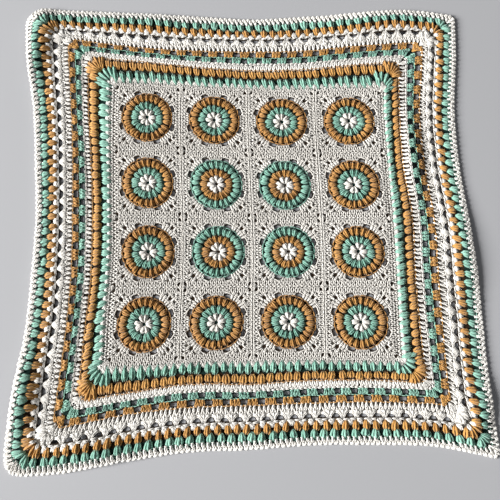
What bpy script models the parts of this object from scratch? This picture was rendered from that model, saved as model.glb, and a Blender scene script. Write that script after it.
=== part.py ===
"""Crocheted lap blanket, lying flat: sixteen joined squares, each with a round puff
motif, inside ten border rounds. Metres, +Z up, the floor at Z = 0, the origin under
the middle of the blanket's outline.

The cloth is laid out twice. The plan is the blanket as it was worked, a true square
around (0, 0). The lie is where the plan's points ended up on the floor: its edges
wander, its corners are rounded, and parts of the border rise in low folds.
"""

import math
from collections import namedtuple
from functools import cache

import bmesh
import bpy
from mathutils import Vector

# The plan: sixteen squares, then the border rounds
SQUARE = 0.122
SQUARES_A_SIDE = 4
PANEL_REACH = SQUARE * SQUARES_A_SIDE / 2
GAP = 0.0003

# The round motif of a square: worked white, coloured and coloured, raised in rings
MOTIF_STEPS = 18
MOTIF_RADIUS = 0.0462
MotifRing = namedtuple("MotifRing", "radius height")
MOTIF_RINGS = [
    MotifRing(0.0000, 0.0045),
    MotifRing(0.0095, 0.0070),
    MotifRing(0.0155, 0.0058),
    MotifRing(0.0225, 0.0078),
    MotifRing(0.0295, 0.0062),
    MotifRing(0.0380, 0.0085),
    MotifRing(MOTIF_RADIUS, 0.0050),
]

# The white ground of a square, with eight gaps along the motif's rim
GROUND_HEIGHT = 0.0042
RIM_GAPS = 8
RIM_GAP_HALF_ANGLE = math.radians(10.5)
RIM_GAP_TOP_HALF_ANGLE = math.radians(6.0)
RIM_GAP_DEPTH = 0.0052

# A border round reaches from the one before it out to `out`. `inner`, `crown` and
# `outer` are its thickness at its inner edge, its middle and its outer edge.
Round = namedtuple("Round", "name yarn out inner crown outer")
ROUNDS = [
    Round("round_01_double_crochet", "white", 0.2560, 0.0042, 0.0042, 0.0042),
    Round("round_02_puffs", "teal", 0.2690, 0.0042, 0.0075, 0.0050),
    Round("round_03_puffs", "mustard", 0.2860, 0.0050, 0.0085, 0.0050),
    Round("round_04_double_crochet", "white", 0.2995, 0.0042, 0.0042, 0.0042),
    Round("round_05_blocks", "teal", 0.3100, 0.0042, 0.0042, 0.0042),
    Round("round_06_blocks", "mustard", 0.3210, 0.0042, 0.0042, 0.0042),
    Round("round_07_puff_lace", "white", 0.3550, 0.0042, 0.0075, 0.0042),
    Round("round_08_puffs", "mustard", 0.3655, 0.0042, 0.0072, 0.0050),
    Round("round_09_puffs", "teal", 0.3765, 0.0050, 0.0075, 0.0050),
    Round("round_10_corded_edge", "white", 0.3900, 0.0042, 0.0042, 0.0055),
]
BORDER_REACH = ROUNDS[-1].out

# Rounds with a row of open gaps, at a pitch that is a share of the side's reach.
# `first_gap` counts pitches from the corner, `gap_share` is the open part of a pitch,
# and `near` and `far` are the gap's own two edges, from the round's inner edge.
PiercedRound = namedtuple("PiercedRound", "gaps_a_side first_gap gap_share near far height")
GAP_PITCH = 2.0 / 22
PIERCED_ROUNDS = {
    "round_06_blocks": PiercedRound(22, 0.5, 0.40, 0.0, 0.0082, 0.0042),
    "round_07_puff_lace": PiercedRound(21, 1.0, 0.38, 0.0165, 0.0245, 0.0065),
}

# How far along a side, as a share of the reach, the rounds have their corners
SIDE_STATIONS = [-1.0, -0.94] + [k / 6 for k in range(-5, 6)] + [0.94]

# The lie: how far out each side of a line lies, at places along that side
Sides = namedtuple("Sides", "along top bottom left right")
Corner = namedtuple("Corner", "x y rounding")
Line = namedtuple("Line", "reach sides top_left top_right bottom_left bottom_right")
PANEL_EDGE = Line(
    PANEL_REACH,
    [
        Sides(-0.180, 0.249, 0.248, 0.239, 0.248),
        Sides(-0.060, 0.242, 0.244, 0.236, 0.248),
        Sides(0.060, 0.238, 0.241, 0.242, 0.245),
        Sides(0.180, 0.240, 0.242, 0.248, 0.241),
    ],
    Corner(-0.249, 0.250, 0.001),
    Corner(0.242, 0.240, 0.001),
    Corner(-0.239, -0.249, 0.001),
    Corner(0.249, -0.243, 0.001),
)
PUFF_LINE = Line(
    ROUNDS[2].out,
    [
        Sides(-0.200, 0.297, 0.297, 0.277, 0.286),
        Sides(-0.100, 0.286, 0.283, 0.272, 0.283),
        Sides(0.000, 0.279, 0.283, 0.275, 0.284),
        Sides(0.100, 0.281, 0.277, 0.283, 0.272),
        Sides(0.200, 0.291, 0.276, 0.294, 0.272),
    ],
    Corner(-0.300, 0.306, 0.018),
    Corner(0.276, 0.296, 0.012),
    Corner(-0.281, -0.309, 0.016),
    Corner(0.291, -0.280, 0.012),
)
BLOCK_LINE = Line(
    ROUNDS[5].out,
    [
        Sides(-0.300, 0.339, 0.351, 0.317, 0.328),
        Sides(-0.200, 0.326, 0.332, 0.310, 0.325),
        Sides(-0.100, 0.320, 0.321, 0.307, 0.324),
        Sides(0.000, 0.318, 0.318, 0.311, 0.323),
        Sides(0.100, 0.320, 0.314, 0.317, 0.312),
        Sides(0.200, 0.330, 0.312, 0.326, 0.310),
        Sides(0.300, 0.337, 0.315, 0.337, 0.321),
    ],
    Corner(-0.342, 0.345, 0.022),
    Corner(0.323, 0.336, 0.014),
    Corner(-0.321, -0.354, 0.020),
    Corner(0.331, -0.318, 0.014),
)
OUTER_EDGE = Line(
    BORDER_REACH,
    [
        Sides(-0.300, 0.403, 0.423, 0.391, 0.397),
        Sides(-0.200, 0.397, 0.405, 0.379, 0.394),
        Sides(-0.100, 0.392, 0.391, 0.376, 0.391),
        Sides(0.000, 0.386, 0.387, 0.376, 0.384),
        Sides(0.100, 0.391, 0.380, 0.385, 0.375),
        Sides(0.200, 0.399, 0.379, 0.396, 0.374),
        Sides(0.300, 0.405, 0.382, 0.414, 0.384),
    ],
    Corner(-0.430, 0.409, 0.048),
    Corner(0.389, 0.394, 0.014),
    Corner(-0.399, -0.430, 0.038),
    Corner(0.405, -0.402, 0.014),
)
LINES = (PANEL_EDGE, PUFF_LINE, BLOCK_LINE, OUTER_EDGE)

# Low folds of the cloth: where each crest lies, how far it runs and how high it is
Fold = namedtuple("Fold", "x y half_length half_width turn rise")
FOLDS = [
    Fold(-0.398, 0.330, 0.120, 0.032, 83, 0.011),
    Fold(-0.374, -0.305, 0.110, 0.030, 85, 0.012),
    Fold(0.290, 0.115, 0.130, 0.026, 92, 0.008),
    Fold(0.372, -0.060, 0.130, 0.034, 96, 0.006),
    Fold(-0.210, 0.372, 0.110, 0.040, 2, 0.006),
    Fold(0.265, 0.376, 0.120, 0.038, -3, 0.008),
    Fold(0.368, -0.335, 0.090, 0.036, 62, 0.008),
    Fold(-0.275, -0.383, 0.120, 0.038, 170, 0.009),
]

YARNS = {
    "white": (0.80, 0.78, 0.72, 1.0),
    "teal": (0.20, 0.52, 0.41, 1.0),
    "mustard": (0.53, 0.24, 0.05, 1.0),
}
YARN_ROUGHNESS = 0.85

# The outer yarn of each motif, row by row from the top
MOTIF_YARNS = [
    ["mustard", "mustard", "mustard", "mustard"],
    ["mustard", "teal", "teal", "mustard"],
    ["mustard", "teal", "teal", "mustard"],
    ["mustard", "mustard", "mustard", "mustard"],
]

BOTTOM, RIGHT, TOP, LEFT = range(4)


def smooth(knots, values, at):
    """The value at a place between knots, on a curve through all of them."""
    last = len(knots) - 1
    k = 0
    while k < last - 1 and at > knots[k + 1]:
        k += 1
    slopes = []
    for i in (k, k + 1):
        before, after = max(i - 1, 0), min(i + 1, last)
        slopes.append((values[after] - values[before]) / (knots[after] - knots[before]))
    step = knots[k + 1] - knots[k]
    s = (at - knots[k]) / step
    start = values[k] * (2 * s**3 - 3 * s**2 + 1) + slopes[0] * step * (s**3 - 2 * s**2 + s)
    end = values[k + 1] * (3 * s**2 - 2 * s**3) + slopes[1] * step * (s**3 - s**2)
    return start + end


def side_corners(line, side):
    """The two corners of a side, from its low end to its high end."""
    return {
        BOTTOM: (line.bottom_left, line.bottom_right),
        RIGHT: (line.bottom_right, line.top_right),
        TOP: (line.top_left, line.top_right),
        LEFT: (line.bottom_left, line.top_left),
    }[side]


def along_and_out(side, x, y):
    """How far along a side a point lies, and how far out from the middle."""
    return {BOTTOM: (x, -y), RIGHT: (y, x), TOP: (x, y), LEFT: (y, -x)}[side]


def side_point(line, side, share):
    """A point of a line, at a share from -1 to 1 along one of its sides."""
    low, high = [along_and_out(side, c.x, c.y) for c in side_corners(line, side)]
    column = ("bottom", "right", "top", "left")[side]
    knots = [low[0]] + [row.along for row in line.sides] + [high[0]]
    values = [low[1]] + [getattr(row, column) for row in line.sides] + [high[1]]
    along = low[0] + (high[0] - low[0]) * (share + 1) / 2
    out = smooth(knots, values, along)
    places = {BOTTOM: (along, -out), RIGHT: (out, along), TOP: (along, out), LEFT: (-out, along)}
    return Vector(places[side])


def panel_point(u, v):
    """Where a plan point of the panel lies. u and v run from -1 to 1."""
    low, high = side_point(PANEL_EDGE, BOTTOM, u), side_point(PANEL_EDGE, TOP, u)
    left, right = side_point(PANEL_EDGE, LEFT, v), side_point(PANEL_EDGE, RIGHT, v)
    across = low * (1 - v) / 2 + high * (1 + v) / 2
    along = left * (1 - u) / 2 + right * (1 + u) / 2
    corners = (
        Vector(PANEL_EDGE.bottom_left[:2]) * (1 - u) * (1 - v)
        + Vector(PANEL_EDGE.bottom_right[:2]) * (1 + u) * (1 - v)
        + Vector(PANEL_EDGE.top_left[:2]) * (1 - u) * (1 + v)
        + Vector(PANEL_EDGE.top_right[:2]) * (1 + u) * (1 + v)
    ) / 4
    return across + along - corners


def between_lines(reach, values):
    """A value at a reach, straight between its values at the two lines next to it."""
    k = 0
    while k < len(LINES) - 2 and reach > LINES[k + 1].reach:
        k += 1
    near, far = LINES[k].reach, LINES[k + 1].reach
    part = (reach - near) / (far - near)
    return values[k] * (1 - part) + values[k + 1] * part


def square_cornered(side, reach, share):
    """Where a border point lies before its corner is rounded."""
    return between_lines(reach, [side_point(line, side, share) for line in LINES])


def next_side(side, share):
    """The side that meets this one at its end, and the share of it there."""
    high = share > 0
    if side == BOTTOM:
        return (RIGHT, -1) if high else (LEFT, -1)
    if side == TOP:
        return (RIGHT, 1) if high else (LEFT, 1)
    if side == LEFT:
        return (TOP, -1) if high else (BOTTOM, -1)
    return (TOP, 1) if high else (BOTTOM, 1)


def border_point(side, reach, share):
    """Where a plan point of the border lies."""
    corner_of = 1 if share > 0 else 0
    lengths = [side_corners(line, side)[corner_of].rounding for line in LINES]
    rounding = between_lines(reach, lengths) / reach
    if abs(share) <= 1 - rounding:
        return square_cornered(side, reach, share)
    end = math.copysign(1, share)
    other, other_end = next_side(side, share)
    first = square_cornered(side, reach, end * (1 - rounding))
    corner = square_cornered(side, reach, end)
    last = square_cornered(other, reach, other_end * (1 - rounding))
    q = (abs(share) - 1 + rounding) / (2 * rounding)
    return first * (1 - q) ** 2 + corner * 2 * q * (1 - q) + last * q**2


def lift(point):
    """How far the cloth stands off the floor at a point of the lie."""
    height = 0.0
    for fold in FOLDS:
        turn = math.radians(fold.turn)
        x, y = point.x - fold.x, point.y - fold.y
        along = (x * math.cos(turn) + y * math.sin(turn)) / fold.half_length
        across = (y * math.cos(turn) - x * math.sin(turn)) / fold.half_width
        if abs(along) < 1 and abs(across) < 1:
            swell = math.cos(math.pi / 2 * along) * math.cos(math.pi / 2 * across)
            height += fold.rise * swell**2
    return height


def all_stations():
    """Each station of a round, as (side, share), once round the blanket."""
    stations = []
    for side in (BOTTOM, RIGHT):
        stations += [(side, share) for share in SIDE_STATIONS]
    for side in (TOP, LEFT):
        stations += [(side, -share) for share in SIDE_STATIONS]
    return stations


@cache
def outline_middle():
    """The middle of the box around the blanket's outer edge."""
    edge = [border_point(side, BORDER_REACH - GAP / 2, share) for side, share in all_stations()]
    low = Vector((min(p.x for p in edge), min(p.y for p in edge)))
    high = Vector((max(p.x for p in edge), max(p.y for p in edge)))
    return (low + high) / 2


def laid(flat, height):
    """The solid's point over a point of the lie."""
    place = flat - outline_middle()
    return Vector((place.x, place.y, lift(flat) + height))


def panel_cell(x, y):
    """Where a plan point of the panel lies, straight between the panel's stations."""
    cells = []
    for place in (x / PANEL_REACH, y / PANEL_REACH):
        stations = SIDE_STATIONS + [1.0]
        k = 0
        while k < len(stations) - 2 and place > stations[k + 1]:
            k += 1
        low, high = stations[k], stations[k + 1]
        cells.append((low, high, (place - low) / (high - low)))
    (u0, u1, a), (v0, v1, b) = cells
    lower = panel_point(u0, v0) * (1 - a) + panel_point(u1, v0) * a
    upper = panel_point(u0, v1) * (1 - a) + panel_point(u1, v1) * a
    return lower * (1 - b) + upper * b


def border_chord(side, reach, share):
    """A border point, straight between the border's stations."""
    stations = SIDE_STATIONS + [1.0]
    k = 0
    while k < len(stations) - 2 and share > stations[k + 1]:
        k += 1
    low, high = stations[k], stations[k + 1]
    a = (share - low) / (high - low)
    return border_point(side, reach, low) * (1 - a) + border_point(side, reach, high) * a


def add_node(name, bm, yarn):
    """Makes a bmesh into a node of the blanket, in one yarn."""
    bmesh.ops.recalc_face_normals(bm, faces=bm.faces)
    mesh = bpy.data.meshes.new(name)
    bm.to_mesh(mesh)
    bm.free()
    mesh.materials.append(yarn_material(yarn))
    node = bpy.data.objects.new(name, mesh)
    bpy.context.scene.collection.objects.link(node)
    return node


def yarn_material(yarn):
    """The plain finish of one yarn."""
    name = yarn + "_yarn"
    if name in bpy.data.materials:
        return bpy.data.materials[name]
    material = bpy.data.materials.new(name)
    material.use_nodes = True
    shader = material.node_tree.nodes["Principled BSDF"]
    shader.inputs["Base Color"].default_value = YARNS[yarn]
    shader.inputs["Roughness"].default_value = YARN_ROUGHNESS
    shader.inputs["Metallic"].default_value = 0.0
    return material


def square_centre(row, column):
    """The plan centre of a square. Row 1 is the top one, and column 1 the left one."""
    middle = (SQUARES_A_SIDE + 1) / 2
    return Vector(((column - middle) * SQUARE, (middle - row) * SQUARE))


def ground_outline(centre):
    """The ground's outer edge in the plan, with a point at each station on it."""
    half = SQUARE / 2
    inset = half - GAP / 2
    shares = [
        [s * PANEL_REACH - middle for s in SIDE_STATIONS + [1.0]] for middle in (centre.x, centre.y)
    ]
    inner = [[p for p in row if abs(p) < half - GAP] for row in shares]
    across, up = inner
    points = [(-inset, -inset)] + [(p, -inset) for p in across]
    points += [(inset, -inset)] + [(inset, p) for p in up]
    points += [(inset, inset)] + [(p, inset) for p in reversed(across)]
    points += [(-inset, inset)] + [(-inset, p) for p in reversed(up)]
    return [centre + Vector(p) for p in points]


def ground_opening(centre):
    """The ground's inner edge in the plan: round the motif, out and in at each gap."""
    pitch = 2 * math.pi / RIM_GAPS
    longest_chord = pitch / 2 - RIM_GAP_HALF_ANGLE
    rim = (MOTIF_RADIUS + GAP) / math.cos(longest_chord / 2)
    points = []
    for k in range(RIM_GAPS):
        middle = (k + 0.5) * pitch
        for turn, radius in (
            (-pitch / 2, rim),
            (-RIM_GAP_HALF_ANGLE, rim),
            (-RIM_GAP_TOP_HALF_ANGLE, rim + RIM_GAP_DEPTH),
            (RIM_GAP_TOP_HALF_ANGLE, rim + RIM_GAP_DEPTH),
            (RIM_GAP_HALF_ANGLE, rim),
        ):
            angle = middle + turn
            points.append(centre + Vector((math.cos(angle), math.sin(angle))) * radius)
    return points


def add_loop(bm, points):
    """A closed loop of edges through plan points."""
    verts = [bm.verts.new((p.x, p.y, 0.0)) for p in points]
    return [bm.edges.new((verts[k - 1], verts[k])) for k in range(len(verts))]


def build_ground(row, column):
    """The white rounds of one square, from its motif out to the join."""
    centre = square_centre(row, column)
    bm = bmesh.new()
    edges = add_loop(bm, ground_outline(centre)) + add_loop(bm, ground_opening(centre))
    bmesh.ops.triangle_fill(bm, use_beauty=True, use_dissolve=False, edges=edges)
    top = bmesh.ops.extrude_face_region(bm, geom=bm.faces[:])
    raised = {e for e in top["geom"] if isinstance(e, bmesh.types.BMVert)}
    for vert in bm.verts:
        height = GROUND_HEIGHT if vert in raised else 0.0
        vert.co = laid(panel_cell(vert.co.x, vert.co.y), height)
    return add_node(f"square_{row}_{column}", bm, "white")


def build_motif(row, column):
    """The round puff motif of one square: its outline turned about its middle."""
    centre = square_centre(row, column)
    bm = bmesh.new()
    turned = list(MOTIF_RINGS) + [MotifRing(MOTIF_RADIUS, 0.0), MotifRing(0.0, 0.0)]
    verts = [bm.verts.new((ring.radius, 0.0, ring.height)) for ring in turned]
    edges = [bm.edges.new((a, b)) for a, b in zip(verts, verts[1:])]
    bmesh.ops.spin(
        bm,
        geom=verts + edges,
        axis=(0, 0, 1),
        cent=(0, 0, 0),
        steps=MOTIF_STEPS,
        angle=2 * math.pi,
        use_merge=True,
    )
    bmesh.ops.remove_doubles(bm, verts=bm.verts, dist=GAP / 10)
    for vert in bm.verts:
        flat = panel_cell(centre.x + vert.co.x, centre.y + vert.co.y)
        vert.co = laid(flat, vert.co.z)
    return add_node(f"motif_{row}_{column}", bm, MOTIF_YARNS[row - 1][column - 1])


def build_round(border_round, start):
    """A closed round of the border, with the same section all the way."""
    inner, outer = start + GAP / 2, border_round.out - GAP / 2
    section = [(inner, 0.0), (inner, border_round.inner)]
    if border_round.crown > max(border_round.inner, border_round.outer):
        section.append(((inner + outer) / 2, border_round.crown))
    section += [(outer, border_round.outer), (outer, 0.0)]
    bm = bmesh.new()
    rings = []
    for side, share in all_stations():
        points = [laid(border_point(side, reach, share), height) for reach, height in section]
        rings.append([bm.verts.new(point) for point in points])
    for k, ring in enumerate(rings):
        before = rings[k - 1]
        for j in range(len(section)):
            bm.faces.new((before[j - 1], before[j], ring[j], ring[j - 1]))
    return add_node(border_round.name, bm, border_round.yarn)


def pierced_columns(pierced):
    """Where the columns of one side of a pierced round lie, from its low end.

    Each is (share, whether the cloth is whole before it, whether it is after it).
    """
    half_gap = GAP_PITCH * pierced.gap_share / 2
    columns = []
    gap_middles = [-1.0 + (k + pierced.first_gap) * GAP_PITCH for k in range(pierced.gaps_a_side)]
    for middle in gap_middles:
        columns += [(middle - half_gap, True, False), (middle + half_gap, False, True)]
    for station in SIDE_STATIONS:
        whole = all(abs(station - middle) > half_gap for middle in gap_middles)
        columns.append((station, whole, whole))
    return sorted(columns)


def around(pierced):
    """The columns of all four sides, once round: (side, share, before, after)."""
    columns = []
    for side in (BOTTOM, RIGHT):
        columns += [(side, *column) for column in pierced_columns(pierced)]
    for side in (TOP, LEFT):
        columns += [(side, -column[0], *column[1:]) for column in pierced_columns(pierced)]
    return columns


def build_pierced_round(border_round, start, pierced):
    """A closed round of the border with a row of gaps cut through it."""
    section = [(start + GAP / 2, border_round.inner)]
    if pierced.near > 0:
        section.append((start + pierced.near, pierced.height))
    gap_strip = len(section) - 1
    section.append((start + pierced.far, pierced.height))
    section.append((border_round.out - GAP / 2, border_round.outer))
    columns = around(pierced)
    bm = bmesh.new()
    rails = []
    for side, share, _, _ in columns:
        flats = [border_chord(side, reach, share) for reach, _ in section]
        low = [bm.verts.new(laid(flat, 0.0)) for flat in flats]
        high = [bm.verts.new(laid(flat, height)) for flat, (_, height) in zip(flats, section)]
        rails.append((low, high))
    for k, (_, _, before, after) in enumerate(columns):
        low, high = rails[k]
        next_low, next_high = rails[(k + 1) % len(columns)]
        strips = [j for j in range(len(section) - 1) if after or j != gap_strip]
        for j in strips:
            bm.faces.new((high[j], high[j + 1], next_high[j + 1], next_high[j]))
            bm.faces.new((low[j + 1], low[j], next_low[j], next_low[j + 1]))
        for j in range(len(section)):
            if (j in strips) != (j - 1 in strips):
                bm.faces.new((low[j], high[j], next_high[j], next_low[j]))
        if before != after:
            j = gap_strip
            bm.faces.new((low[j], low[j + 1], high[j + 1], high[j]))
    return add_node(border_round.name, bm, border_round.yarn)


def build_blanket():
    """Every square, every motif and every border round."""
    for row in range(1, SQUARES_A_SIDE + 1):
        for column in range(1, SQUARES_A_SIDE + 1):
            build_ground(row, column)
            build_motif(row, column)
    start = PANEL_REACH
    for border_round in ROUNDS:
        if border_round.name in PIERCED_ROUNDS:
            build_pierced_round(border_round, start, PIERCED_ROUNDS[border_round.name])
        else:
            build_round(border_round, start)
        start = border_round.out


for leftover in list(bpy.data.objects):
    bpy.data.objects.remove(leftover, do_unlink=True)
build_blanket()
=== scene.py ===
"""The crocheted lap blanket, stitch by stitch, laid over the plain model of its cloth.

Each kind of stitch is drawn once or a few times, in millimetres, from twisted strands of
yarn: x runs along its round, y outwards and z up from the floor. The rounds are then
worked in the plan, a true square around (0, 0), and the whole plan is laid out as the
blanket lies.
"""

import math
from collections import namedtuple

import bmesh
import bpy
import numpy as np
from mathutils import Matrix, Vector
from mathutils.geometry import delaunay_2d_cdt


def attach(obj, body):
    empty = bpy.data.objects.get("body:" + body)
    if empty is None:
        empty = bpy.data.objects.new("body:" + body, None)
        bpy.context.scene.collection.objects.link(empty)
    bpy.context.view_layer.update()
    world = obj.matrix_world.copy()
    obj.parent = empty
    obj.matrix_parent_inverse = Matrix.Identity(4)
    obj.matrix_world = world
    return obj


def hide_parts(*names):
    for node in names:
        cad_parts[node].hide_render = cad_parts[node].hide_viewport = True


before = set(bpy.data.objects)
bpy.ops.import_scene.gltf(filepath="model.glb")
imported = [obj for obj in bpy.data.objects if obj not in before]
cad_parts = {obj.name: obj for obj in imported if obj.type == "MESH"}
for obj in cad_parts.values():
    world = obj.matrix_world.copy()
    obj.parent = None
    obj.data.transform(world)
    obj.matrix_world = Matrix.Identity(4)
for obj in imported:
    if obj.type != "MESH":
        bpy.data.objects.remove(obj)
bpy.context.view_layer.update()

MM = 0.001
QUARTER = math.pi / 2
EIGHTH = math.pi / 4

# The plan: sixteen squares, then the border rounds
SQUARE = 0.122
SQUARES_A_SIDE = 4
PANEL_REACH = SQUARE * SQUARES_A_SIDE / 2
BORDER_REACH = 0.390
OUTLINE_MIDDLE = (-0.0098, -0.0105)

# The outer yarn of each motif, row by row from the top
MOTIF_YARNS = [
    ["mustard", "mustard", "mustard", "mustard"],
    ["mustard", "teal", "teal", "mustard"],
    ["mustard", "teal", "teal", "mustard"],
    ["mustard", "mustard", "mustard", "mustard"],
]

# The lie: how far out each side of a line lies, at places along that side, and where its
# corners lie and how far they are rounded
Sides = namedtuple("Sides", "along top bottom left right")
Corner = namedtuple("Corner", "x y rounding")
Line = namedtuple("Line", "reach sides top_left top_right bottom_left bottom_right")
PANEL_EDGE = Line(
    PANEL_REACH,
    [
        Sides(-0.180, 0.249, 0.248, 0.239, 0.248),
        Sides(-0.060, 0.242, 0.244, 0.236, 0.248),
        Sides(0.060, 0.238, 0.241, 0.242, 0.245),
        Sides(0.180, 0.240, 0.242, 0.248, 0.241),
    ],
    Corner(-0.249, 0.250, 0.001),
    Corner(0.242, 0.240, 0.001),
    Corner(-0.239, -0.249, 0.001),
    Corner(0.249, -0.243, 0.001),
)
PUFF_LINE = Line(
    0.286,
    [
        Sides(-0.200, 0.297, 0.297, 0.277, 0.286),
        Sides(-0.100, 0.286, 0.283, 0.272, 0.283),
        Sides(0.000, 0.279, 0.283, 0.275, 0.284),
        Sides(0.100, 0.281, 0.277, 0.283, 0.272),
        Sides(0.200, 0.291, 0.276, 0.294, 0.272),
    ],
    Corner(-0.300, 0.306, 0.018),
    Corner(0.276, 0.296, 0.012),
    Corner(-0.281, -0.309, 0.016),
    Corner(0.291, -0.280, 0.012),
)
BLOCK_LINE = Line(
    0.321,
    [
        Sides(-0.300, 0.339, 0.351, 0.317, 0.328),
        Sides(-0.200, 0.326, 0.332, 0.310, 0.325),
        Sides(-0.100, 0.320, 0.321, 0.307, 0.324),
        Sides(0.000, 0.318, 0.318, 0.311, 0.323),
        Sides(0.100, 0.320, 0.314, 0.317, 0.312),
        Sides(0.200, 0.330, 0.312, 0.326, 0.310),
        Sides(0.300, 0.337, 0.315, 0.337, 0.321),
    ],
    Corner(-0.342, 0.345, 0.022),
    Corner(0.323, 0.336, 0.014),
    Corner(-0.321, -0.354, 0.020),
    Corner(0.331, -0.318, 0.014),
)
OUTER_EDGE = Line(
    BORDER_REACH,
    [
        Sides(-0.300, 0.403, 0.423, 0.391, 0.397),
        Sides(-0.200, 0.397, 0.405, 0.379, 0.394),
        Sides(-0.100, 0.392, 0.391, 0.376, 0.391),
        Sides(0.000, 0.386, 0.387, 0.376, 0.384),
        Sides(0.100, 0.391, 0.380, 0.385, 0.375),
        Sides(0.200, 0.399, 0.379, 0.396, 0.374),
        Sides(0.300, 0.405, 0.382, 0.414, 0.384),
    ],
    Corner(-0.430, 0.409, 0.048),
    Corner(0.389, 0.394, 0.014),
    Corner(-0.399, -0.430, 0.038),
    Corner(0.405, -0.402, 0.014),
)
LINES = (PANEL_EDGE, PUFF_LINE, BLOCK_LINE, OUTER_EDGE)

# Low folds of the cloth: where the middle of each crest lies, how far it runs to each end
# and to each side, how many degrees it is turned by and how high it is
Fold = namedtuple("Fold", "x y half_length half_width turn rise")
FOLDS = [
    Fold(-0.398, 0.330, 0.120, 0.032, 83, 0.011),
    Fold(-0.374, -0.305, 0.110, 0.030, 85, 0.012),
    Fold(0.290, 0.115, 0.130, 0.026, 92, 0.008),
    Fold(0.372, -0.060, 0.130, 0.034, 96, 0.006),
    Fold(-0.210, 0.372, 0.110, 0.040, 2, 0.006),
    Fold(0.265, 0.376, 0.120, 0.038, -3, 0.008),
    Fold(0.368, -0.335, 0.090, 0.036, 62, 0.008),
    Fold(-0.275, -0.383, 0.120, 0.038, 170, 0.009),
]

BOTTOM, RIGHT, TOP, LEFT = range(4)
SIDE_ENDS = {
    BOTTOM: ("bottom_left", "bottom_right"),
    RIGHT: ("bottom_right", "top_right"),
    TOP: ("top_left", "top_right"),
    LEFT: ("bottom_left", "top_left"),
}
# The side that meets each side at its low and its high end, and the share of it there
NEXT_SIDE = {
    BOTTOM: ((LEFT, -1), (RIGHT, -1)),
    RIGHT: ((BOTTOM, 1), (TOP, 1)),
    TOP: ((LEFT, 1), (RIGHT, 1)),
    LEFT: ((BOTTOM, -1), (TOP, -1)),
}


def smooth(knots, values, at):
    """The values at places between knots, on a curve through all of them."""
    last = len(knots) - 1
    k = np.clip(np.searchsorted(knots, at, side="left") - 1, 0, last - 1)
    before = np.maximum(np.arange(last + 1) - 1, 0)
    after = np.minimum(np.arange(last + 1) + 1, last)
    slopes = (values[after] - values[before]) / (knots[after] - knots[before])
    step = knots[k + 1] - knots[k]
    s = (at - knots[k]) / step
    start = values[k] * (2 * s**3 - 3 * s**2 + 1) + slopes[k] * step * (s**3 - 2 * s**2 + s)
    end = values[k + 1] * (3 * s**2 - 2 * s**3) + slopes[k + 1] * step * (s**3 - s**2)
    return start + end


def along_and_out(side, x, y):
    """How far along a side points lie, and how far out from the middle."""
    return ((x, -y), (y, x), (x, y), (y, -x))[side]


def side_point(line, side, share):
    """Points of a line, at shares from -1 to 1 along one of its sides."""
    ends = [getattr(line, name) for name in SIDE_ENDS[side]]
    low, high = [along_and_out(side, end.x, end.y) for end in ends]
    column = ("bottom", "right", "top", "left")[side]
    knots = np.array([low[0]] + [row.along for row in line.sides] + [high[0]])
    values = np.array([low[1]] + [getattr(row, column) for row in line.sides] + [high[1]])
    along = low[0] + (high[0] - low[0]) * (share + 1) / 2
    out = smooth(knots, values, along)
    places = ((along, -out), (out, along), (along, out), (-out, along))[side]
    return np.stack(places, axis=-1)


def panel_point(u, v):
    """Where plan points of the panel lie. u and v run from -1 to 1."""
    low, high = side_point(PANEL_EDGE, BOTTOM, u), side_point(PANEL_EDGE, TOP, u)
    left, right = side_point(PANEL_EDGE, LEFT, v), side_point(PANEL_EDGE, RIGHT, v)
    u, v = u[:, None], v[:, None]
    across = low * (1 - v) / 2 + high * (1 + v) / 2
    along = left * (1 - u) / 2 + right * (1 + u) / 2
    corners = (
        np.array(PANEL_EDGE.bottom_left[:2]) * (1 - u) * (1 - v)
        + np.array(PANEL_EDGE.bottom_right[:2]) * (1 + u) * (1 - v)
        + np.array(PANEL_EDGE.top_left[:2]) * (1 - u) * (1 + v)
        + np.array(PANEL_EDGE.top_right[:2]) * (1 + u) * (1 + v)
    ) / 4
    return across + along - corners


def between_lines(reach, values):
    """Values at reaches, straight between those at the two lines next to each."""
    reaches = np.array([line.reach for line in LINES])
    k = np.searchsorted(reaches[1:-1], reach, side="left")
    part = (reach - reaches[k]) / (reaches[k + 1] - reaches[k])
    values = np.array([np.broadcast_to(v, reach.shape + np.shape(v)[1:]) for v in values])
    rows = np.arange(len(reach))
    part = part.reshape(part.shape + (1,) * (values.ndim - 2))
    return values[k, rows] * (1 - part) + values[k + 1, rows] * part


def square_cornered(side, reach, share):
    """Where border points lie before the corners are rounded."""
    return between_lines(reach, [side_point(line, side, share) for line in LINES])


def border_point(side, reach, share):
    """Where plan points of one side of the border lie."""
    flat = square_cornered(side, reach, share)
    for high, end in enumerate((-1, 1)):
        lengths = [getattr(line, SIDE_ENDS[side][high]).rounding for line in LINES]
        rounding = between_lines(reach, lengths) / reach
        near = end * share > 1 - rounding
        if not near.any():
            continue
        r, s = reach[near], rounding[near]
        other, other_end = NEXT_SIDE[side][high]
        first = square_cornered(side, r, end * (1 - s))
        corner = square_cornered(side, r, np.full_like(r, end))
        last = square_cornered(other, r, other_end * (1 - s))
        q = ((np.abs(share[near]) - 1 + s) / (2 * s))[:, None]
        flat[near] = first * (1 - q) ** 2 + corner * 2 * q * (1 - q) + last * q**2
    return flat


def lift(flat):
    """How far the cloth stands off the floor at points of the lie."""
    height = np.zeros(len(flat))
    for fold in FOLDS:
        turn = math.radians(fold.turn)
        x, y = flat[:, 0] - fold.x, flat[:, 1] - fold.y
        along = (x * math.cos(turn) + y * math.sin(turn)) / fold.half_length
        across = (y * math.cos(turn) - x * math.sin(turn)) / fold.half_width
        on_fold = (np.abs(along) < 1) & (np.abs(across) < 1)
        swell = np.cos(QUARTER * along) * np.cos(QUARTER * across)
        height += np.where(on_fold, fold.rise * swell**2, 0.0)
    return height


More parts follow.
